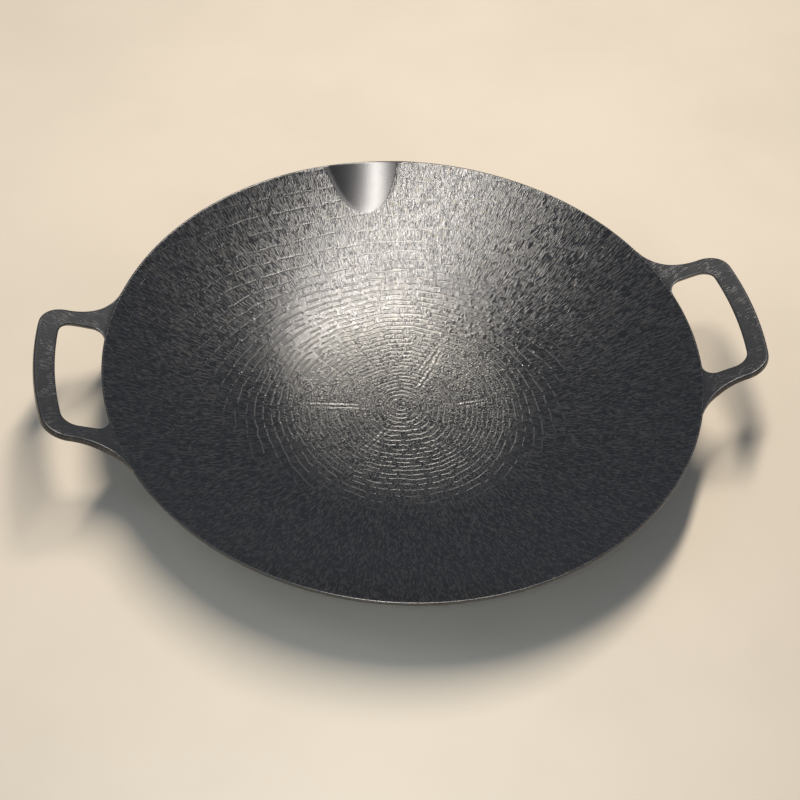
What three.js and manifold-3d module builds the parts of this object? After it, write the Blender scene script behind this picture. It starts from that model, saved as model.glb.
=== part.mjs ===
// A shallow griddle pan of cast iron: a round dished bowl with a flared rim and a pouring scoop,
// two flat loop handles that carry the flare outwards, and the foot ring that the pan stands on.
// Millimetres and degrees, +Z up. The origin is on the bowl's axis, on the plane that the pan
// rests on. The handles lie along X and the scoop faces +Y.

import * as THREE from "three";
import { mergeVertices } from "three/addons/utils/BufferGeometryUtils.js";
import Module from "manifold-3d";

const wasm = await Module();
wasm.setup();

// Bowl
const rimRadius = 180; // to the outer edge of the rim
const flareWidth = 12; // from the end of the round dish out to the rim
const dishDepth = 42.7; // of the round dish, up to where the flare begins
const flareSlope = 21.6; // above level, shared by the rim's flare and the handles
const flareBend = 6; // length of the bend between dish and flare
const wallThickness = 4;

// Pouring scoop
const scoopWidth = 50; // across the rim
const scoopLength = 32; // from the rim inwards
const scoopDepth = 6.8; // that the rim is pressed out by
const scoopTilt = 45; // below level, of the way that the wall is pressed out
const scoopFullness = 2.6; // power of the scoop's section: 2 is a parabola, more has a flatter floor

// Handles
const handleReach = 38; // out from the rim
const handleLength = 101; // along the rim, between the outer sides
const handleThickness = 4.6;
const gripWidth = 11.8; // of the curved bar that the hand holds
const sideWidth = 10.5; // of the two bars that run to the rim
const cornerRadius = 16; // of the loop's outer corners
const rootRadius = 30; // of the hollows between the loop and the rim
const gapCornerRadius = 9.5; // of the finger gap's corners at the grip
const gapRootRadius = 6; // of the finger gap's corners at the rim
const handleRounding = 1.6; // of the loop's edges
const seatDepth = 4; // that the handle's feet reach into the rim

// Foot ring
const footRadius = 67; // of the middle of the ring
const footWidth = 9; // of the ring where it stands
const footDraft = 8; // taper of the ring's sides
const footChamfer = 1;
const footClearance = 2; // under the middle of the bowl

const fitGap = 0.3; // between two pieces that meet

// Fineness of the facets
const turnSteps = 108; // round the bowl
const crowding = 0.55; // how far the bowl's facets gather at the scoop
const ringSteps = 64; // round the foot ring
const dishSteps = 8; // from the axis to the scoop's tip
const scoopSteps = 4; // along the scoop
const bendSteps = 3; // in the bend of the flare
const rimSteps = 4; // round the edge of the rim
const footSteps = 4; // across the top of the foot ring
const cornerSteps = 4; // half the facets of each arc in a handle's outline
const roundingSteps = 2; // in the rounded edges of a handle

const castIron = { color: 0x2b2b2e, roughness: 0.55, metalness: 0.6 };

const { degToRad } = THREE.MathUtils;
const { abs, asin, atan, atan2, cos, hypot, max, PI, sin, sqrt, tan } = Math;

const flareAngle = degToRad(flareSlope);
const dishRadius = rimRadius - flareWidth;
const dishAngle = 2 * atan(dishDepth / dishRadius); // slope at the edge of the round dish
const dishCurve = dishRadius / sin(dishAngle); // radius of the dish's arc
const dishCentre = footClearance + wallThickness + dishCurve; // height of the arc's centre
const scoopTip = rimRadius - scoopLength;
const seatRadius = rimRadius - seatDepth;
const outerRadius = rimRadius + handleReach;
const meetRadius = rimRadius + fitGap; // of the circle that the handle's hollows run into

function polar(radius, angle) {
  return new THREE.Vector2(radius * cos(angle), radius * sin(angle));
}

// The section of the bowl's cooking side from the axis to the start of the flare, moved down
// into the wall by an offset: the arc of the dish, then the bend into the flare's slope.
function meridian(offset) {
  const tipAngle = asin(scoopTip / dishCurve);
  const angles = [];
  for (let step = 0; step < dishSteps; step += 1) {
    angles.push(tipAngle * (step / dishSteps));
  }
  for (let step = 0; step <= scoopSteps; step += 1) {
    angles.push(tipAngle + (dishAngle - tipAngle) * (step / scoopSteps));
  }
  const dish = angles.map((angle) => polar(dishCurve + offset, angle - PI / 2));
  dish.forEach((point) => point.setY(point.y + dishCentre));
  const leg = flareBend / 2 - offset * tan((dishAngle - flareAngle) / 2);
  const start = dish.at(-1);
  const corner = start.clone().add(polar(leg, dishAngle));
  const end = corner.clone().add(polar(leg, flareAngle));
  const bend = new THREE.QuadraticBezierCurve(start, corner, end).getPoints(bendSteps);
  return [...dish.slice(0, -1), ...bend];
}

const flareStart = meridian(0).at(-1);

// Height of the flare's top at a radius, also beyond the rim, where the handles carry it on.
function flareHeight(radius) {
  return flareStart.y + (radius - flareStart.x) * tan(flareAngle);
}

const tall = 2 * flareHeight(outerRadius); // long enough for a cut through everything

// Points round the edge of the rim, from the underside to the top: half a circle.
function rimEdge() {
  const half = wallThickness / 2;
  const across = rimRadius - half;
  const topRadius = across - half * sin(flareAngle);
  const centre = new THREE.Vector2(across, flareHeight(topRadius) - half * cos(flareAngle));
  const points = [];
  for (let step = 0; step <= rimSteps; step += 1) {
    const angle = flareAngle + PI * (step / rimSteps - 1 / 2);
    points.push(centre.clone().add(polar(half, angle)));
  }
  return points;
}

function lathe(profile, steps) {
  return new THREE.LatheGeometry(profile, steps).rotateX(PI / 2);
}

// A closed solid from a geometry: corners are merged and the facets that they flatten left out.
function solidOf(geometry) {
  const bare = new THREE.BufferGeometry();
  bare.setAttribute("position", geometry.getAttribute("position"));
  bare.setIndex(geometry.getIndex());
  const merged = mergeVertices(bare);
  const corners = merged.getIndex().array;
  const triVerts = [];
  for (let at = 0; at < corners.length; at += 3) {
    const [a, b, c] = corners.subarray(at, at + 3);
    if (a !== b && b !== c && c !== a) {
      triVerts.push(a, b, c);
    }
  }
  const vertProperties = new Float32Array(merged.getAttribute("position").array);
  const mesh = new wasm.Mesh({ numProp: 3, vertProperties, triVerts: new Uint32Array(triVerts) });
  return new wasm.Manifold(mesh);
}

function pieceOf(name, solid) {
  const mesh = solid.getMesh();
  const geometry = new THREE.BufferGeometry();
  geometry.setAttribute("position", new THREE.BufferAttribute(mesh.vertProperties, 3));
  geometry.setIndex(new THREE.BufferAttribute(mesh.triVerts, 1));
  geometry.computeVertexNormals();
  const piece = new THREE.Mesh(geometry, new THREE.MeshStandardMaterial(castIron));
  piece.name = name;
  return piece;
}

// Gathers the facets round +Y and presses the wall out there: the scoop deepens steadily from
// its tip to the rim, and across it the depth falls off by a power of the distance.
function pressScoop(geometry) {
  const tilt = degToRad(scoopTilt);
  const position = geometry.getAttribute("position");
  for (let at = 0; at < position.count; at += 1) {
    const radius = hypot(position.getX(at), position.getY(at));
    const turn = atan2(position.getX(at), position.getY(at));
    const gathered = turn - crowding * sin(turn);
    const x = radius * sin(gathered);
    const y = radius * cos(gathered);
    const along = y > 0 ? (radius - scoopTip) / scoopLength : 0;
    const across = abs((2 * x) / scoopWidth) ** scoopFullness;
    const press = scoopDepth * max(0, along - across);
    position.setXYZ(at, x, y + press * cos(tilt), position.getZ(at) - press * sin(tilt));
  }
  return geometry;
}

// Centres of the arcs in a handle's outline, which each touch a circle round the axis and a
// straight side: given by their distance from the axis and from the handle's middle line.
function arcCentre(fromAxis, fromMiddle) {
  return new THREE.Vector2(sqrt(fromAxis ** 2 - fromMiddle ** 2), fromMiddle);
}

const sideAt = handleLength / 2;
const gapSideAt = sideAt - sideWidth;
const gapOuterRadius = outerRadius - gripWidth;
const root = arcCentre(meetRadius + rootRadius, sideAt + rootRadius);
const corner = arcCentre(outerRadius - cornerRadius, sideAt - cornerRadius);
const gapRoot = arcCentre(meetRadius + gapRootRadius, gapSideAt - gapRootRadius);
const gapCorner = arcCentre(gapOuterRadius - gapCornerRadius, gapSideAt - gapCornerRadius);
const footStart = gapRoot.angle(); // the angles between which a foot of the handle meets the rim
const footEnd = root.angle();

// The handle at +X seen from above, an open loop whose two feet run on past their seats.
function handleOutline() {
  const footInner = seatRadius - seatDepth;
  const shape = new THREE.Shape();
  shape.absarc(0, 0, footInner, -footStart, -footEnd, true);
  shape.absarc(root.x, -root.y, rootRadius, PI - footEnd, PI / 2, true);
  shape.absarc(corner.x, -corner.y, cornerRadius, -PI / 2, -corner.angle(), false);
  shape.absarc(0, 0, outerRadius, -corner.angle(), corner.angle(), false);
  shape.absarc(corner.x, corner.y, cornerRadius, corner.angle(), PI / 2, false);
  shape.absarc(root.x, root.y, rootRadius, -PI / 2, footEnd - PI, true);
  shape.absarc(0, 0, footInner, footEnd, footStart, true);
  shape.absarc(gapRoot.x, gapRoot.y, gapRootRadius, PI + footStart, PI / 2, true);
  shape.absarc(gapCorner.x, gapCorner.y, gapCornerRadius, PI / 2, gapCorner.angle(), true);
  shape.absarc(0, 0, gapOuterRadius, gapCorner.angle(), -gapCorner.angle(), true);
  shape.absarc(gapCorner.x, -gapCorner.y, gapCornerRadius, -gapCorner.angle(), -PI / 2, true);
  shape.absarc(gapRoot.x, -gapRoot.y, gapRootRadius, -PI / 2, -PI - footStart, true);
  shape.closePath();
  return shape;
}

// A handle: its outline as a plate with rounded edges, lifted onto the slope of the flare and
// cut off at its seat in the rim.
function handleSolid() {
  const upright = handleThickness / cos(flareAngle); // thickness measured straight down
  const plate = new THREE.ExtrudeGeometry(handleOutline(), {
    depth: upright - 2 * handleRounding,
    curveSegments: cornerSteps,
    bevelSize: handleRounding,
    bevelOffset: -handleRounding,
    bevelThickness: handleRounding,
    bevelSegments: roundingSteps,
  });
  const position = plate.getAttribute("position");
  const top = upright - handleRounding;
  for (let at = 0; at < position.count; at += 1) {
    const radius = hypot(position.getX(at), position.getY(at));
    position.setZ(at, position.getZ(at) - top + flareHeight(radius));
  }
  const seat = new THREE.CylinderGeometry(seatRadius, seatRadius, tall, 2 * turnSteps);
  return solidOf(plate).subtract(solidOf(seat.rotateX(PI / 2)));
}

// The place that a handle's foot takes up in the rim, with its middle turned to an angle.
function footSocket(turn) {
  const half = (footEnd - footStart) / 2 + fitGap / seatRadius;
  const shape = new THREE.Shape();
  shape.absarc(0, 0, seatRadius - fitGap, turn - half, turn + half, false);
  shape.absarc(0, 0, outerRadius, turn + half, turn - half, true);
  shape.closePath();
  const options = { depth: tall, bevelEnabled: false, curveSegments: cornerSteps };
  return solidOf(new THREE.ExtrudeGeometry(shape, options));
}

function bowlSolid() {
  const profile = [...meridian(wallThickness), ...rimEdge(), ...meridian(0).reverse()];
  let solid = solidOf(pressScoop(lathe(profile, turnSteps)));
  const footMiddle = (footStart + footEnd) / 2;
  for (const turn of [footMiddle, -footMiddle, PI + footMiddle, PI - footMiddle]) {
    solid = solid.subtract(footSocket(turn));
  }
  return solid;
}

// Height of the foot ring's top at a radius, just clear of the bowl's underside.
function underBowl(radius) {
  return dishCentre - sqrt((dishCurve + wallThickness + fitGap) ** 2 - radius ** 2);
}

function footSolid() {
  const inner = footRadius - footWidth / 2;
  const outer = footRadius + footWidth / 2;
  const taper = tan(degToRad(footDraft));
  const innerTop = inner - underBowl(inner) * taper;
  const outerTop = outer + underBowl(outer) * taper;
  const profile = [
    new THREE.Vector2(inner + footChamfer, 0),
    new THREE.Vector2(outer - footChamfer, 0),
    new THREE.Vector2(outer, footChamfer),
  ];
  for (let step = 0; step <= footSteps; step += 1) {
    const radius = outerTop + (innerTop - outerTop) * (step / footSteps);
    profile.push(new THREE.Vector2(radius, underBowl(radius)));
  }
  profile.push(new THREE.Vector2(inner, footChamfer));
  profile.push(profile[0].clone());
  return solidOf(lathe(profile, ringSteps));
}

const rightHandle = pieceOf("right_handle", handleSolid());
const leftHandle = pieceOf("left_handle", handleSolid());
leftHandle.rotation.z = PI;

const pan = new THREE.Group();
pan.add(pieceOf("pan_bowl", bowlSolid()), rightHandle, leftHandle, pieceOf("foot_ring", footSolid()));

export default pan;
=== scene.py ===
import bpy
import numpy as np
from mathutils import Matrix, Vector


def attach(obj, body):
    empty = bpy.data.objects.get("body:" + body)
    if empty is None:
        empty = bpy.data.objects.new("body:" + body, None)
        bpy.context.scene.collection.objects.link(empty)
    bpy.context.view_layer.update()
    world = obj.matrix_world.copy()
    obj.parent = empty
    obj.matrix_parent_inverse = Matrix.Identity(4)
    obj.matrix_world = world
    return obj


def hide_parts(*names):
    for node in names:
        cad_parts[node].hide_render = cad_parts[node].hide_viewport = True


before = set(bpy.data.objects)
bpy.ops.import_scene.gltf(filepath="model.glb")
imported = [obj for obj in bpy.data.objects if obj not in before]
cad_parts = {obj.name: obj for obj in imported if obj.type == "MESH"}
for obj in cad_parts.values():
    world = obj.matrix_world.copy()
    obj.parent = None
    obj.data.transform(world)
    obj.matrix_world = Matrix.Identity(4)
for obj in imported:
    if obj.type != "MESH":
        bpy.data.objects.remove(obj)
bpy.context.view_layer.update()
mm = 0.001
print("frame:", ", ".join(sorted(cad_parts)))


# Shape helpers

def smoothStep(low, high, value):  # 0 below low, 1 above high, an S curve between
    t = np.clip((value - low) / (high - low), 0.0, 1.0)
    return t * t * (3.0 - 2.0 * t)


def rowFaces(firstRow, nextRow):
    # Faces between two closed rows of points. Rows of one count give quads, and where a row has
    # twice the points of its neighbour each face takes one more corner. A row of one is a pole.
    a, b = np.asarray(firstRow), np.asarray(nextRow)
    if len(a) == len(b):
        return np.stack([a, np.roll(a, -1), np.roll(b, -1), b], axis=1)
    if len(a) == 1:
        return np.stack([np.repeat(a, len(b)), np.roll(b, -1), b], axis=1)
    if len(b) == 1:
        return np.stack([a, np.roll(a, -1), np.repeat(b, len(a))], axis=1)
    if len(b) == 2 * len(a):
        return np.stack([a, np.roll(a, -1), np.roll(b, -2)[::2], b[1::2], b[::2]], axis=1)
    return np.stack([a[::2], a[1::2], np.roll(a, -2)[::2], np.roll(b, -1), b], axis=1)


def makePiece(name, points, faceSets, attributes=None):
    # Points in millimetres and whole arrays of faces, each array with its own count of corners.
    mesh = bpy.data.meshes.new(name)
    totals = np.concatenate([np.full(len(f), f.shape[1]) for f in faceSets])
    corners = np.concatenate([f.ravel() for f in faceSets])
    mesh.vertices.add(len(points))
    mesh.vertices.foreach_set("co", (points * mm).astype(np.float32).ravel())
    mesh.loops.add(len(corners))
    mesh.loops.foreach_set("vertex_index", corners.astype(np.int32))
    mesh.polygons.add(len(totals))
    mesh.polygons.foreach_set("loop_start", (np.cumsum(totals) - totals).astype(np.int32))
    mesh.polygons.foreach_set("loop_total", totals.astype(np.int32))
    mesh.polygons.foreach_set("use_smooth", np.ones(len(totals), dtype=bool))
    for label, values in (attributes or {}).items():
        layer = mesh.attributes.new(label, "FLOAT", "POINT")
        layer.data.foreach_set("value", values.astype(np.float32))
    mesh.update(calc_edges=True)
    mesh.validate()
    piece = bpy.data.objects.new(name, mesh)
    bpy.context.scene.collection.objects.link(piece)
    print(f"{name}: {len(points)} points, {int((totals - 2).sum())} triangles")
    return piece


# Bowl

bowl = {
    "rimRadius": 180.0,
    "rimLevel": 53.84,
    "wall": 4.0,
    "clearance": 2.0,  # under the middle
    "scoopWidth": 50.5,
    "scoopLength": 33.0,
    "scoopDepth": 2.3,
    "scoopTilt": 45.0,
    "scoopFullness": 2.6,
    "scoopSide": 0.12,  # where it is deepest, as a share of its half width
    "crowding": 0.55,  # how far the points gather at the scoop
    "crowdFrom": 95.0,  # radii between which that gathering sets in
    "crowdTo": 150.0,
    "rimHeight": 2.9,  # of the edge's upright face
    "rimRounding": 1.3,
    "rimUnder": 1.1,  # rounding below the edge
    # rows of points: first and last radius, step, and points in a row
    "topRows": [(1.0, 4.0, 1.0, 60), (4.0, 8.0, 1.0, 120), (8.0, 24.0, 1.0, 240),
                (24.0, 178.8, 1.2, 480)],
    "lowRows": [(175.0, 66.0, -9.0, 480), (64.0, 33.0, -6.0, 240), (30.0, 8.0, -5.0, 120),
                (7.0, 2.0, -2.5, 60)],
}

roundDepth = bowl["rimLevel"] - bowl["clearance"] - bowl["wall"]
roundCurve = (bowl["rimRadius"] ** 2 + roundDepth ** 2) / (2.0 * roundDepth)


def bowlLevel(radius, offset=0.0):
    # One arc from the middle to the rim. The underside is the same arc, the wall's thickness away.
    curve = roundCurve + offset
    return bowl["clearance"] + bowl["wall"] + roundCurve - np.sqrt(curve ** 2 - radius ** 2)


def slopeAt(radius):  # angle of the cooking side above level
    return np.arcsin(radius / roundCurve)


def scoopPress(x, radius):
    # How far the metal is pressed out: a round trough that deepens towards the rim, a little to one
    # side of its outline, and runs out where the square of the way across reaches the way along it.
    fromTip = radius - bowl["rimRadius"] + bowl["scoopLength"]
    along = np.maximum(fromTip / bowl["scoopLength"], 0.0)
    across = 2.0 * x / bowl["scoopWidth"] - bowl["scoopSide"]
    trough = along ** (2.0 / bowl["scoopFullness"]) - across ** 2
    return bowl["scoopDepth"] * np.maximum(trough, 0.0)


rings = {
    "pitch": 3.3,  # of the close rings in the middle
    "closeZone": 66.0,  # where the rings begin to spread, on average
    "zoneLean": 18.0,  # how much nearer that is on the side where the rings stand wide
    "spread": 0.10,  # growth of the pitch for each millimetre beyond
    "lean": 0.13,  # share by which the pitch is wider on that side
    "leanSide": 280.0,
    "outerLean": 0.08,  # of the wide rings, to a side of their own
    "outerSide": 150.0,
    "shift": 0.30,  # of the rings from one sector to the next, in rings
    "beltWidth": 17.0,  # sectors are cut from belts of this width
    "sectors": 9.0,  # in the first belt, and how many more in each one after it
    "sectorsMore": 2.0,
    "sectorDraws": 211,
    "wander": 1.5,
    "seed": 23,
    "lineWidth": 0.6,  # of a line across the rings, half its width
    "lineWobble": 0.25,
    "lipAt": 1.5,  # distance of a groove's lips from its middle
    "lipHeight": 1.4,  # of its depth
    "middleHeight": 0.7,
    # lines across the rings: angle, inner and outer radius, turn along the way, and depth of the
    # groove, below zero for a raised line
    "cracks": [
        (174.5, 24.0, 62.0, 1.5, 0.11), (352.0, 34.0, 55.0, 3.0, 0.10), (45.0, 16.0, 58.0, 8.0, 0.07),
        (58.0, 26.0, 60.0, -5.0, 0.06), (110.0, 26.0, 88.0, 5.0, -0.15), (236.0, 18.0, 48.0, -6.0, 0.10),
        (292.0, 30.0, 54.0, 5.0, 0.08), (205.0, 38.0, 72.0, 4.0, -0.08), (20.0, 30.0, 70.0, 6.0, -0.08),
        (140.0, 40.0, 80.0, -5.0, -0.07), (318.0, 36.0, 66.0, 4.0, 0.06),
    ],
}
ringDraw = np.random.default_rng(rings["seed"])
waveCount = np.concatenate([np.arange(1, 8), np.arange(9, 44, 3)])
wavePhase = ringDraw.uniform(0.0, 2 * np.pi, len(waveCount))
waveDrift = ringDraw.normal(0.0, 0.03, len(waveCount))
waveSize = np.where(waveCount < 8, 0.5 / waveCount ** 0.5, 0.045)
sectorShift = ringDraw.uniform(-0.5, 0.5, rings["sectorDraws"])


def wander(angle, radius):  # a sum of waves round the bowl that drift with the radius
    turns = angle[..., None] * waveCount + wavePhase + radius[..., None] * waveDrift
    return (np.sin(turns) * waveSize).sum(axis=-1)


def ringCount(angle, radius):
    # Count of rings out from the middle, and the pitch there: even up to the close zone, then a
    # logarithm, so that the pitch grows evenly. The rings stand wide on one side, wander, and step
    # by a drawn share of a ring from sector to sector.
    lean = np.cos(angle - np.radians(rings["leanSide"]))
    outward = np.cos(angle - np.radians(rings["outerSide"]))
    scale = 1.0 - rings["lean"] * lean * smoothStep(4.0, 40.0, radius)
    scale -= rings["outerLean"] * outward * smoothStep(40.0, 90.0, radius)
    strayed = rings["wander"] * wander(angle, radius) * smoothStep(0.0, 50.0, radius)
    grown = radius * scale + strayed
    zone = rings["closeZone"] - rings["zoneLean"] * lean
    beyond = np.maximum(grown - zone, 0.0) * rings["spread"] / rings["pitch"]
    count = np.minimum(grown, zone) / rings["pitch"] + np.log1p(beyond) / rings["spread"]
    belt = np.floor(radius / rings["beltWidth"] + 0.6 * np.sin(2.0 * angle + 0.7))
    sectors = rings["sectors"] + rings["sectorsMore"] * belt
    sector = np.floor((angle / (2 * np.pi) + 0.004 * np.sin(radius * 0.21 + belt)) * sectors)
    drawn = sectorShift[(sector % sectors + 37.0 * belt).astype(int) % rings["sectorDraws"]]
    count = count + rings["shift"] * drawn * smoothStep(14.0, 24.0, radius)
    return count, rings["pitch"] * (1.0 + beyond) / scale


def crackRelief(angle, radius):
    # Height of the lines across the rings, and how much of a point is their lips: each is a bell
    # curve across a bent radial line, and a groove has a raised lip on both sides.
    height, lip = np.zeros(radius.shape), np.zeros(radius.shape)
    for turn, inner, outer, bend, depth in rings["cracks"]:
        way = np.clip((radius - inner) / (outer - inner), 0.0, 1.0)
        across = radius * np.sin(angle - np.radians(turn + bend * way))
        across = across + rings["lineWobble"] * np.sin(radius * 0.9 + turn)
        ahead = np.cos(angle - np.radians(turn)) > 0.0
        reach = smoothStep(0.0, 0.15, way) * (1.0 - smoothStep(0.8, 1.0, way)) * ahead
        bell = lambda away: reach * np.exp(-(away / rings["lineWidth"]) ** 2)
        middle, sides = bell(across), bell(np.abs(across) - rings["lipAt"]) * (depth > 0)
        height += rings["lipHeight"] * abs(depth) * sides - rings["middleHeight"] * depth * middle
        lip = np.maximum(lip, sides if depth > 0 else middle)
    return height, lip


def rowsOf(zones):  # radius and count of points of each row
    return [(radius, count) for start, end, step, count in zones for radius in np.arange(start, end, step)]


def roundRow(radius, count):
    # Angles round the axis from +Y, drawn together towards the scoop in the outer part.
    turn = np.arange(count) * 2 * np.pi / count
    pull = bowl["crowding"] * smoothStep(bowl["crowdFrom"], bowl["crowdTo"], radius)
    return turn - pull * np.sin(turn)


def rimEdge():
    # The rim's edge in section: a rounding off the cooking side, an upright face, and a rounding
    # to the underside. Each rounding is a quadratic curve.
    rim, soft, under = bowl["rimRadius"], bowl["rimRounding"], bowl["rimUnder"]
    slope = slopeAt(rim)
    top = np.array([rim, bowl["rimLevel"]])
    low = np.array([rim, bowl["rimLevel"] - bowl["rimHeight"]])
    t = np.linspace(0.0, 1.0, 6)[:, None]
    bend = lambda a, b, c: (1 - t) ** 2 * a + 2 * t * (1 - t) * b + t ** 2 * c
    upper = bend(top - [soft * np.cos(slope), soft * np.sin(slope)], top, top - [0.0, soft])
    lower = bend(low + [0.0, under], low, low - [under, under])
    return np.concatenate([upper, lower])


def makeBowl():
    points, rows = [], []
    marks = {"ringCount": [], "ringPitch": [], "ringWeight": [], "crackLip": []}

    def addRow(radius, height, turn, weight=0.0, lip=0.0):
        start = sum(len(r) for r in rows)
        rows.append(np.arange(start, start + len(turn)))
        radius, height = np.broadcast_to(radius, turn.shape), np.broadcast_to(height, turn.shape)
        x, y = radius * np.sin(turn), radius * np.cos(turn)
        press = scoopPress(x, radius) * (y > 0)
        tilt = np.radians(bowl["scoopTilt"])
        points.append(np.stack([x, y + press * np.cos(tilt), height - press * np.sin(tilt)], axis=1))
        count, pitch = ringCount(np.pi / 2 - turn, radius)
        for label, values in zip(marks, (count, pitch, weight, lip)):
            marks[label].append(np.broadcast_to(values, turn.shape))

    centre = np.zeros(1)
    addRow(0.0, bowlLevel(0.0), centre, 1.0)
    for radius, count in rowsOf(bowl["topRows"]):
        turn = roundRow(radius, count)
        angle, radii = np.pi / 2 - turn, np.full(count, radius)
        lift, lip = crackRelief(angle, radii)
        slope = slopeAt(radius)
        level = bowlLevel(radius) + lift * np.cos(slope)
        addRow(radius - lift * np.sin(slope), level, turn, 1.0, lip)
    for place, (radius, height) in enumerate(rimEdge()):
        addRow(radius, height, roundRow(radius, rows[-1].size), 1.0 if place < 1 else 0.0)
    for radius, count in rowsOf(bowl["lowRows"]):
        addRow(radius, bowlLevel(radius, bowl["wall"]), roundRow(radius, count))
    addRow(0.0, bowlLevel(0.0, bowl["wall"]), centre)
    faces = [rowFaces(a, b) for a, b in zip(rows[:-1], rows[1:])]
    return makePiece("cookingBowl", np.concatenate(points), faces,
                     {label: np.concatenate(values) for label, values in marks.items()})


# Handles

handle = {
    "reach": 37.7,  # out from the rim
    "length": 101.0,  # along the rim
    "slope": 21.6,  # of its top, outwards and up from the rim
    "thickness": 4.6,
    "gripWidth": 11.8,
    "sideWidth": 10.5,
    "cornerRadius": 16.0,
    "rootRadius": 36.0,
    "gapCornerRadius": 9.5,
    "gapRootRadius": 8.0,
    "topRounding": 1.0,
    "underRounding": 1.5,
    "innerDraft": 24.0,
    "outerDraft": 4.0,
    "draftMost": 0.3,  # of the bar's width
    "sink": 0.15,  # that the hollows run into the rim
    "crest": 0.10,  # that the top stays under the corner between the bowl's slope and its own
    "stepsAlong": (14, 12, 16, 18),  # on the root, the side, the corner and half the grip
    "pairing": 0.55,  # share of the outer hollow that faces the gap's own root
    "rootThickness": 2.9,
    "rootFrom": 177.0,  # radii between which the root grows into the loop
    "rootTo": 190.0,
    "seatSpread": 0.25,  # that the rows inside the rim widen, for each millimetre
    # rows inside the rim: radius, and height over the top
    "seat": [(176.2, -1.2), (177.2, 0.0), (178.0, 0.0), (178.9, 0.0)],
}
topAngle = np.radians(handle["slope"])


def handleTop(radius):
    # The lower of two lines through the rim, the bowl's slope there and the handle's own, with the
    # corner between them rounded by a hyperbola.
    out = radius - bowl["rimRadius"]
    bowlSlope, ownSlope = np.tan(slopeAt(bowl["rimRadius"])), np.tan(topAngle)
    apart = out * (bowlSlope - ownSlope) / 2
    return bowl["rimLevel"] + out * (bowlSlope + ownSlope) / 2 - np.hypot(apart, handle["crest"])


def arcPoints(centre, radius, start, end, count=80):
    angle = np.linspace(start, end, count)
    return np.asarray(centre) + radius * np.stack([np.cos(angle), np.sin(angle)], axis=1)


def arcCentre(fromAxis, fromMiddle):  # of an arc that touches a circle round the axis and a side
    return np.array([np.sqrt(fromAxis ** 2 - fromMiddle ** 2), fromMiddle])


def alongLine(line, stops, counts):
    # Points on a polyline, in runs between stops that are given as lengths along it.
    length = np.concatenate([[0.0], np.cumsum(np.hypot(*np.diff(line, axis=0).T))])
    runs = [np.linspace(a, b, n, endpoint=False) for a, b, n in zip(stops[:-1], stops[1:], counts)]
    at = np.concatenate(runs + [[stops[-1]]])
    return np.stack([np.interp(at, length, line[:, 0]), np.interp(at, length, line[:, 1])], axis=1)


def handleEdges():
    # Outer and inner edge of the half loop at y > 0, from the rim to the middle of the grip,
    # with their points paired across the bar.
    meet = bowl["rimRadius"] - handle["sink"]
    outer = bowl["rimRadius"] + handle["reach"]
    gapOuter = outer - handle["gripWidth"]
    side = handle["length"] / 2
    gapSide = side - handle["sideWidth"]
    root = arcCentre(meet + handle["rootRadius"], side + handle["rootRadius"])
    corner = arcCentre(outer - handle["cornerRadius"], side - handle["cornerRadius"])
    gapRoot = arcCentre(meet + handle["gapRootRadius"], gapSide - handle["gapRootRadius"])
    gapCorner = arcCentre(gapOuter - handle["gapCornerRadius"], gapSide - handle["gapCornerRadius"])
    turnOf = lambda p: np.arctan2(p[1], p[0])
    hollow = arcPoints(root, handle["rootRadius"], np.pi + turnOf(root), 1.5 * np.pi)
    bendOut = arcPoints(corner, handle["cornerRadius"], np.pi / 2, turnOf(corner))
    gripOut = arcPoints((0.0, 0.0), outer, turnOf(corner), 0.0)
    gapHollow = arcPoints(gapRoot, handle["gapRootRadius"], np.pi + turnOf(gapRoot), np.pi / 2)
    bendIn = arcPoints(gapCorner, handle["gapCornerRadius"], np.pi / 2, turnOf(gapCorner))
    gripIn = arcPoints((0.0, 0.0), gapOuter, turnOf(gapCorner), 0.0)
    lengthOf = lambda line: np.hypot(*np.diff(line, axis=0).T).sum()
    outerLine = np.concatenate([hollow, bendOut, gripOut[1:]])
    innerLine = np.concatenate([gapHollow, bendIn, gripIn[1:]])
    outRoot, inRoot = lengthOf(hollow), lengthOf(gapHollow)
    inSide = lengthOf(np.concatenate([gapHollow, bendIn[:1]]))
    outCorner = lengthOf(np.concatenate([hollow, bendOut]))
    inCorner = lengthOf(np.concatenate([gapHollow, bendIn]))
    outerStops = (0.0, handle["pairing"] * outRoot, outRoot, outCorner, lengthOf(outerLine))
    innerStops = (0.0, inRoot, inSide, inCorner, lengthOf(innerLine))
    return (alongLine(outerLine, outerStops, handle["stepsAlong"]),
            alongLine(innerLine, innerStops, handle["stepsAlong"]))


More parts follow.
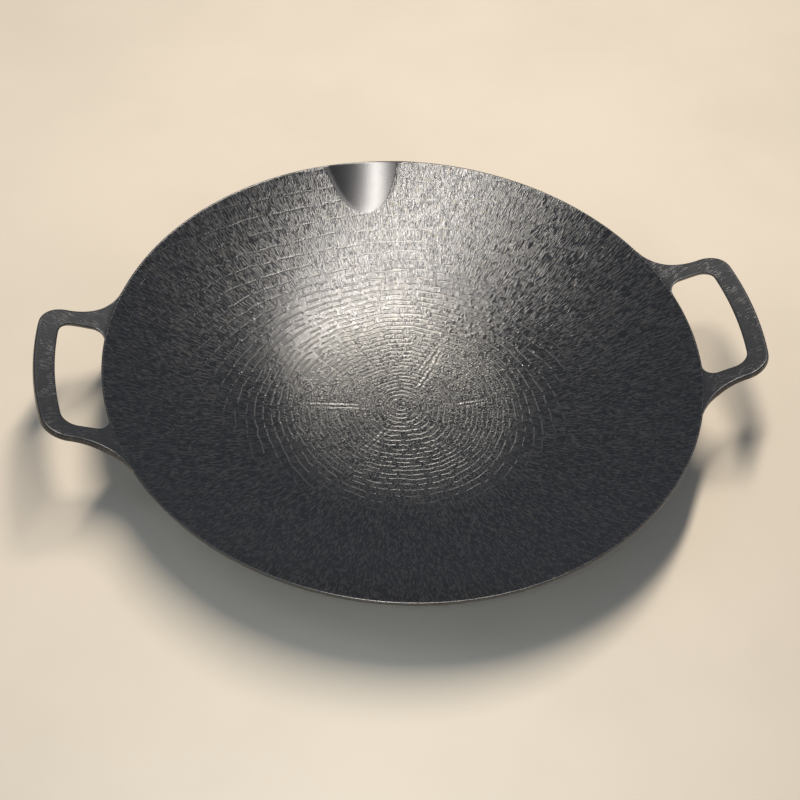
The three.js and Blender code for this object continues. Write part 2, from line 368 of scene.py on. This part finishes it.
def sectionPoints(thickness, width):
    # A bar's section, as a share across the bar and a height over its middle: a flat top, an
    # upright outer side, a bottom, and an inner side that slants under the bar. Each corner is a
    # quadratic curve between points on its two sides.
    half = thickness / 2
    slant = np.minimum(thickness * np.tan(np.radians(handle["innerDraft"])), handle["draftMost"] * width)
    lean = thickness * np.tan(np.radians(handle["outerDraft"]))
    corners = np.stack([
        np.stack([width / 2, half], axis=1), np.stack([-width / 2, half], axis=1),
        np.stack([slant - width / 2, -half], axis=1), np.stack([width / 2 - lean, -half], axis=1)], axis=1)
    roundings = [handle["topRounding"]] * 2 + [handle["underRounding"]] * 2
    t = np.linspace(0.0, 1.0, 6)[:, None]
    flat = np.linspace(0.0, 1.0, 12)[1:-1, None]
    run = []
    for at, soft in enumerate(roundings):
        before, here, after = corners[:, at - 1], corners[:, at], corners[:, (at + 1) % 4]
        inWay = (before - here) / np.linalg.norm(before - here, axis=1)[:, None]
        outWay = (after - here) / np.linalg.norm(after - here, axis=1)[:, None]
        start, end = (here + soft * inWay)[:, None], (here + soft * outWay)[:, None]
        run.append((1 - t) ** 2 * start + 2 * t * (1 - t) * here[:, None] + t ** 2 * end)
        if at % 2 == 0:  # the top and the bottom get points between their corners
            run.append(end + flat * (after[:, None] - soft * outWay[:, None] - end))
    section = np.concatenate(run, axis=1)
    return 0.5 + section[:, :, 0] / width[:, None], section[:, :, 1]


def makeHandle(name, side):
    # The loop's section carried from one foot round to the other: across the bar the points run
    # between its inner and outer edge in radius and angle, and their height follows the top.
    outer, inner = handleEdges()
    polar = lambda p: (np.hypot(p[:, 0], p[:, 1]), np.arctan2(p[:, 1], p[:, 0]))
    (outRadius, outTurn), (inRadius, inTurn) = polar(outer), polar(inner)
    seat, seatRise = np.array(handle["seat"]).T
    spill = (bowl["rimRadius"] - seat) * handle["seatSpread"] / bowl["rimRadius"]
    outRadius, inRadius = np.concatenate([seat, outRadius]), np.concatenate([seat, inRadius])
    outTurn = np.concatenate([outTurn[0] + spill, outTurn])
    inTurn = np.concatenate([inTurn[0] - spill, inTurn])
    grown = smoothStep(handle["rootFrom"], handle["rootTo"], (outRadius + inRadius) / 2)
    thickness = handle["rootThickness"] + (handle["thickness"] - handle["rootThickness"]) * grown
    tilt = np.sin(topAngle) * grown
    rise = np.concatenate([seatRise, np.zeros(len(outer))])
    mirrored = lambda a, sign: np.concatenate([a, sign * a[-2::-1]])
    outRadius, inRadius = mirrored(outRadius, 1), mirrored(inRadius, 1)
    outTurn, inTurn = mirrored(outTurn, -1), mirrored(inTurn, -1)
    thickness, rise, tilt = mirrored(thickness, 1), mirrored(rise, 1), mirrored(tilt, 1)[:, None]
    width = np.hypot(outRadius * np.cos(outTurn) - inRadius * np.cos(inTurn),
                     outRadius * np.sin(outTurn) - inRadius * np.sin(inTurn))
    share, height = sectionPoints(thickness, width)
    radius = inRadius[:, None] + (outRadius - inRadius)[:, None] * share
    turn = inTurn[:, None] + (outTurn - inTurn)[:, None] * share
    half = thickness[:, None] / 2
    level = handleTop(radius - half * tilt) + (height - half + rise[:, None]) * np.cos(topAngle)
    radius = radius - height * tilt
    points = np.stack([radius * np.cos(turn) * side, radius * np.sin(turn) * side, level], axis=2)
    count = points.shape[1]
    rows = [np.arange(count) + count * row for row in range(len(points))]
    faces = [rowFaces(a, b) for a, b in zip(rows[:-1], rows[1:])]
    faces += [rows[0][::-1][None], rows[-1][None]]
    return makePiece(name, points.reshape(-1, 3), faces)


# Foot ring

foot = {
    "radius": 67.0,
    "width": 9.0,
    "draft": 8.0,
    "rounding": 1.2,
    "fillet": 2.2,  # where the ring runs into the bowl
    "filletSink": 0.35,  # that it ends inside the wall
    "filletKnee": 0.3,
    "bury": 0.8,
    "turns": 240,
}


def makeFoot():
    # Turned profile: a flat sole, rounded corners, drafted sides and hollow fillets that run out
    # on the bowl's underside, closed inside the wall.
    under = lambda radius: bowlLevel(radius, bowl["wall"])
    taper = np.tan(np.radians(foot["draft"]))
    half, soft = foot["width"] / 2, foot["rounding"]
    quarter = np.linspace(-np.pi / 2, 0.0, 6)
    profile = []
    for way in (1.0, -1.0):
        edge = foot["radius"] + way * half
        top = under(edge)
        corner = np.stack([edge + way * soft * (np.cos(quarter) - 1), soft * (1 + np.sin(quarter))], axis=1)
        rise = np.linspace(0.0, 1.0, 6)[1:, None]
        hollow = np.array([[edge + way * (taper * (top - foot["fillet"])), top - foot["fillet"]]])
        run = hollow[0] + [way * foot["fillet"], foot["fillet"] + foot["filletSink"]]
        knee = np.array([hollow[0, 0] + way * foot["filletKnee"], top])
        sweep = (1 - rise) ** 2 * hollow[0] + 2 * rise * (1 - rise) * knee + rise ** 2 * run
        buried = np.array([[run[0], under(run[0]) + foot["bury"]]])
        line = np.concatenate([corner, hollow, sweep, buried])
        profile.append(line if way > 0 else line[::-1])
    profile = np.concatenate(profile)
    turn = np.arange(foot["turns"]) * 2 * np.pi / foot["turns"]
    points = np.stack([profile[:, :1] * np.sin(turn), profile[:, :1] * np.cos(turn),
                       np.broadcast_to(profile[:, 1:], (len(profile), foot["turns"]))], axis=2)
    rows = [np.arange(foot["turns"]) + foot["turns"] * row for row in range(len(profile))]
    faces = [rowFaces(b, a) for a, b in zip(rows, rows[1:] + rows[:1])]
    return makePiece("standingRing", points.reshape(-1, 3), faces)


cookingBowl = makeBowl()
rightHandle = makeHandle("rightLoop", 1.0)
leftHandle = makeHandle("leftLoop", -1.0)
standingRing = makeFoot()


# Finish

class Field:
    # One output of a shader tree, with operators that add Math nodes.
    def __init__(self, tree, socket=None):
        self.tree, self.socket = tree, socket

    def node(self, kind, settings=None, values=None, output=0):
        # Any node: its settings are set first, then its sockets get their values or links.
        made = self.tree.nodes.new(kind)
        for key, value in (settings or {}).items():
            setattr(made, key, value)
        for key, value in (values or {}).items():
            sockets = {s.identifier: s for s in made.inputs}
            socket = made.inputs[key] if isinstance(key, int) else sockets.get(key) or made.inputs[key]
            if isinstance(value, Field):
                self.tree.links.new(value.socket, socket)
            else:
                socket.default_value = value
        if not len(made.outputs):
            return made
        outputs = {s.identifier: s for s in made.outputs}
        return Field(self.tree, outputs.get(output) or made.outputs[output])

    def math(self, operation, *others):
        return self.node("ShaderNodeMath", {"operation": operation}, dict(enumerate((self, *others))))

    def flipped(self, operation, other):
        return self.node("ShaderNodeMath", {"operation": operation}, {0: other, 1: self})

    def __add__(self, other): return self.math("ADD", other)
    def __sub__(self, other): return self.math("SUBTRACT", other)
    def __mul__(self, other): return self.math("MULTIPLY", other)
    def __truediv__(self, other): return self.math("DIVIDE", other)
    def __pow__(self, other): return self.math("POWER", other)
    def __radd__(self, other): return self.flipped("ADD", other)
    def __rsub__(self, other): return self.flipped("SUBTRACT", other)
    def __rmul__(self, other): return self.flipped("MULTIPLY", other)
    def __rtruediv__(self, other): return self.flipped("DIVIDE", other)
    def __rpow__(self, other): return self.flipped("POWER", other)

    def ease(self, low, high):  # an S curve from 0 at low to 1 at high
        return self.node("ShaderNodeMapRange", {"interpolation_type": "SMOOTHSTEP"},
                         {"Value": self, "From Min": low, "From Max": high})

    def mix(self, first, second, share):  # of two colours
        return self.node("ShaderNodeMix", {"data_type": "RGBA"},
                         {"Factor_Float": share, "A_Color": first, "B_Color": second}, "Result_Color")

    def noise(self, scale, detail=2.0, roughness=0.5, distortion=0.0):
        return self.node("ShaderNodeTexNoise", {}, {"Vector": self, "Scale": scale, "Detail": detail,
                                                    "Roughness": roughness, "Distortion": distortion})


def newMaterial(name):
    material = bpy.data.materials.new(name)
    material.use_nodes = True
    material.node_tree.nodes.clear()
    return material, Field(material.node_tree)


def closeMaterial(shade, shader):
    shade.node("ShaderNodeOutputMaterial", {}, {"Surface": shader})


iron = {
    # darker colour of the grooves: partly dark seasoning in them, partly painted shade of the recesses
    "groove": (0.0540, 0.0535, 0.0550, 1.0),
    "ridge": (0.0960, 0.0942, 0.0910, 1.0),
    "brown": (0.0980, 0.0790, 0.0560, 1.0),
    "blue": (0.0690, 0.0760, 0.0980, 1.0),
    "edge": (0.1600, 0.1560, 0.1500, 1.0),  # worn tops of the ring lines
    "bare": (0.2000, 0.1900, 0.1720, 1.0),  # rubbed metal in the middle
    "wear": 0.62,
    "metal": 0.75,
    "rimShare": 0.80,  # of ridge colour on the rim and below it, and on the handles
    "handleShare": 0.14,
    "smoothRoughness": 0.24,
    "handleRoughness": 0.32,
    "castRoughness": 0.24,
    "ridgeRoughness": 0.16,
    "strokeWidth": 0.72,  # lengths and heights in millimetres
    "strokeLength": 5.0,
    "strokeHeight": 0.064,
    "strokeSway": 3.2,  # in stroke widths
    "ringHeight": 0.13,
    "ringWobble": 1.3,
    "lineCore": 0.20,  # a ring line is full up to this distance from its middle, and gone at the next
    "lineEdge": 0.82,
    "dashRate": 0.22,  # how often a ring line comes and goes, for each millimetre
    "fleckHeight": 0.04,
    "fleckFrom": 55.0,  # radii between which the flecks run out, and then the wear
    "fleckTo": 90.0,
    "wearFrom": 65.0,
    "wearTo": 110.0,
    "speckleBand": 9.0,
    "speckleHeight": 0.06,
    "grainHeight": 0.006,
    # scales of the noises, for each metre
    "grainScale": 1300.0,
    "patchScale": 48.0,
    "tintScale": 420.0,
    "fleckScale": 1000.0,
    "speckleScale": 90.0,
    "swayScale": 170.0,
    "wobbleScale": 130.0,
    "middleScale": 60.0,
}


def radialStrokes(shade, place, x, y, radius, band, bandRadius, along):
    # Short strokes that run out from the middle: noise on a circle of the band's own size, so that
    # it changes quickly round the band and slowly across it, with another draw for each band.
    scaled = bandRadius / (radius * iron["strokeWidth"])
    sway = place.noise(iron["swayScale"], 1.0) * iron["strokeSway"]
    across = shade.node("ShaderNodeCombineXYZ", {}, {
        0: x * scaled + sway, 1: y * scaled - sway, 2: band * 7.31 + along / iron["strokeLength"]})
    return across.noise(1.0, 1.0, 0.4, 0.3)


def ironFinish(name, ringed):
    material, shade = newMaterial(name)
    place = shade.node("ShaderNodeTexCoord", output="Object")
    x = shade.node("ShaderNodeSeparateXYZ", {}, {0: place}, "X") / mm
    y = shade.node("ShaderNodeSeparateXYZ", {}, {0: place}, "Y") / mm
    radius = (x * x + y * y).math("SQRT").math("MAXIMUM", 0.5)
    grain = place.noise(iron["grainScale"], 3.0, 0.6)
    patch = place.noise(iron["patchScale"], 2.0, 0.5)
    if ringed:
        mark = lambda label: shade.node("ShaderNodeAttribute", {"attribute_name": label}, output="Fac")
        weight, lip, pitch = mark("ringWeight"), mark("crackLip"), mark("ringPitch")
        wobble = (place.noise(iron["wobbleScale"], 1.0) - 0.5) * iron["ringWobble"]
        count = mark("ringCount") + wobble / pitch
        band = count.math("FLOOR")
        inBand = count - band
        near = count.math("ROUND")
        zoneCount = rings["closeZone"] / rings["pitch"]
        # a band's own radius: its count times the pitch, and an exponential beyond the close zone
        growth = ((band + 0.5 - zoneCount).math("MAXIMUM", 0.0) * rings["spread"]).math("EXPONENT")
        meanRadius = (band + 0.5).math("MINIMUM", zoneCount) * rings["pitch"]
        meanRadius = meanRadius + (growth - 1.0) * (rings["pitch"] / rings["spread"])
        strokeNoise = radialStrokes(shade, place, x, y, radius, band, meanRadius, inBand * pitch)
        middle = 1.0 - (pitch + (place.noise(iron["middleScale"], 1.0) - 0.5) * 3.0).ease(5.5, 9.0)
        stroke = strokeNoise.ease(0.44, 0.62)
        relief = strokeNoise.ease(0.15, 0.85) * iron["strokeHeight"]
        inner = 1.0 - (radius + y * 0.2).ease(iron["fleckFrom"], iron["fleckTo"])
        fleck = place.noise(iron["fleckScale"], 1.0).ease(0.46, 0.64) * inner
        dashPlace = shade.node("ShaderNodeCombineXYZ", {}, {
            0: x * iron["dashRate"], 1: y * iron["dashRate"], 2: near * 5.17})
        dash = dashPlace.noise(1.0, 1.0, 0.5).ease(0.37, 0.50) * (0.38 + middle * 0.62)
        toLine = inBand.math("MINIMUM", 1.0 - inBand) * pitch
        line = (1.0 - toLine.ease(iron["lineCore"], iron["lineEdge"])) * dash
        scoopAlong = (radius - (bowl["rimRadius"] - bowl["scoopLength"])) / bowl["scoopLength"]
        scoopAcross = (x.math("ABSOLUTE") * (2.0 / bowl["scoopWidth"])) ** bowl["scoopFullness"]
        inScoop = scoopAlong - scoopAcross + (strokeNoise - 0.5) * 0.12
        smooth = inScoop.ease(-0.02, 0.04) * y.ease(0.0, 1.0)
        rim = 1.0 - weight
        weight = weight * (1.0 - smooth)
        strokes = stroke * (1.0 - line) * (1.0 - middle * 0.4)
        height = relief * (1.0 - line) + line * iron["ringHeight"] + fleck * iron["fleckHeight"]
        height = height * weight
        tops = strokes.math("MAXIMUM", line).math("MAXIMUM", lip).math("MAXIMUM", fleck)
        share = tops * weight + rim * iron["rimShare"]
        edge = line * weight * 0.3
        wear = (1.0 - radius.ease(iron["wearFrom"], iron["wearTo"])) * weight * iron["wear"]
        cast = iron["castRoughness"] + (tops - 0.5) * iron["ridgeRoughness"]
        roughness = cast * weight + (1.0 - weight) * iron["smoothRoughness"]
    else:
        band = (radius / iron["speckleBand"]).math("FLOOR")
        bandRadius = band * iron["speckleBand"]
        speckle = radialStrokes(shade, place, x, y, radius, band, bandRadius, radius).ease(0.50, 0.66)
        strokes = speckle * (0.2 + place.noise(iron["speckleScale"], 2.0).ease(0.42, 0.62) * 0.5)
        height = strokes * iron["speckleHeight"]
        share = strokes * 0.8 + iron["handleShare"]
        edge, wear, roughness = strokes, 0.0, iron["handleRoughness"]
    tint = place.noise(iron["tintScale"], 2.0, 0.6)
    worn = shade.mix(iron["ridge"], iron["brown"], tint.ease(0.54, 0.70) * 0.6)
    worn = shade.mix(worn, iron["blue"], (1.0 - tint.ease(0.32, 0.46)) * 0.6)
    worn = shade.mix(shade.mix(worn, iron["edge"], edge), iron["bare"], wear)
    # from the groove colour to the worn colour by the share of raised tops: the darker grooves are partly
    # dark seasoning, partly painted shade
    colour = shade.mix(iron["groove"], worn, share * (0.8 + grain * 0.4))
    roughness = roughness + (patch - 0.5) * 0.05 + (grain - 0.5) * 0.06
    height = height + grain * iron["grainHeight"]
    bump = shade.node("ShaderNodeBump", {}, {"Strength": 1.0, "Distance": mm, "Height": height})
    shader = shade.node("ShaderNodeBsdfPrincipled", {}, {
        "Base Color": colour, "Roughness": roughness, "Metallic": iron["metal"], "Normal": bump})
    closeMaterial(shade, shader)
    return material


ringedIron = ironFinish("ringedIron", True)
plainIron = ironFinish("plainIron", False)
dressed = [
    (cookingBowl, "pan_bowl", ringedIron), (rightHandle, "right_handle", plainIron),
    (leftHandle, "left_handle", plainIron), (standingRing, "foot_ring", plainIron),
]
for piece, node, finish in dressed:
    piece.data.materials.append(finish)
    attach(piece, "root")
    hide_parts(node)
print("finish: ringed and plain iron")


# Stage

stage = {
    "floorSize": 6.0,  # in metres
    "floorColour": (0.815, 0.698, 0.550, 1.0),
    "floorShade": (0.769, 0.660, 0.520, 1.0),
    "camera": (-143.3, -620.1, 722.8),
    "target": (-9.2, -36.5, 53.4),
    "roll": 4.55,
    "lens": 69.15,
    "sensor": 36.0,
    "floorRoughness": 0.85,
    "floorShine": 0.2,
}


def makeFloor():
    half = stage["floorSize"] / 2 / mm
    points = np.array([[-half, -half, 0.0], [half, -half, 0.0], [half, half, 0.0], [-half, half, 0.0]])
    floor = makePiece("paleFloor", points, [np.arange(4)[None]])
    material, shade = newMaterial("palePaper")
    place = shade.node("ShaderNodeTexCoord", output="Object")
    cloud = place.noise(6.0, 4.0, 0.55).ease(0.35, 0.68)
    colour = shade.mix(stage["floorColour"], stage["floorShade"], cloud)
    shader = shade.node("ShaderNodeBsdfPrincipled", {}, {
        "Base Color": colour, "Roughness": stage["floorRoughness"],
        "Specular IOR Level": stage["floorShine"]})
    closeMaterial(shade, shader)
    floor.data.materials.append(material)


def aimed(location, target, roll=0.0):  # a matrix that looks from one point to another
    back = (Vector(location) - Vector(target)).normalized()
    turned = back.to_track_quat("Z", "Y").to_matrix().to_4x4()
    return Matrix.Translation(Vector(location) * mm) @ turned @ Matrix.Rotation(np.radians(roll), 4, "Z")


def makeCamera():
    data = bpy.data.cameras.new("photoCamera")
    data.lens, data.sensor_width, data.clip_start = stage["lens"], stage["sensor"], 0.01
    camera = bpy.data.objects.new("photoCamera", data)
    camera.matrix_world = aimed(stage["camera"], stage["target"], stage["roll"])
    bpy.context.scene.collection.objects.link(camera)
    bpy.context.scene.camera = camera


lamps = [
    # a long narrow lamp over the pan, a cool soft one on the left and a pool of light in front
    {"name": "longLamp", "kind": "AREA", "at": (112.0, 288.0, 1200.0), "to": (112.0, 288.0, 0.0),
     "turn": 60.0, "power": 14.2, "colour": (1.0, 0.95, 0.88),
     "settings": {"shape": "RECTANGLE", "size": 0.9, "size_y": 0.12}},
    {"name": "leftLamp", "kind": "AREA", "at": (-720.0, -120.0, 1150.0), "to": (0.0, 0.0, 0.0),
     "turn": 0.0, "power": 1.4, "colour": (0.70, 0.85, 1.0),
     "settings": {"shape": "RECTANGLE", "size": 0.55, "size_y": 0.55}},
    {"name": "frontLamp", "kind": "SPOT", "at": (-250.0, -900.0, 1000.0), "to": (-70.0, -300.0, 0.0),
     "turn": 0.0, "power": 20.0, "colour": (0.72, 0.86, 1.0),
     "settings": {"spot_size": 0.44, "spot_blend": 1.0, "shadow_soft_size": 0.15}},
]
roomColour = (0.152, 0.180, 0.228, 1.0)


def makeLights():
    for lamp in lamps:
        data = bpy.data.lights.new(lamp["name"], lamp["kind"])
        data.energy, data.color = lamp["power"], lamp["colour"]
        for key, value in lamp["settings"].items():
            setattr(data, key, value)
        light = bpy.data.objects.new(lamp["name"], data)
        light.matrix_world = aimed(lamp["at"], lamp["to"], lamp["turn"])
        bpy.context.scene.collection.objects.link(light)
    world = bpy.data.worlds.new("softRoom")
    world.use_nodes = True
    world.node_tree.nodes["Background"].inputs["Color"].default_value = roomColour
    bpy.context.scene.world = world


makeFloor()
makeCamera()
makeLights()
bpy.context.scene.view_settings.view_transform = "Standard"
print("stage: floor, camera and lights")
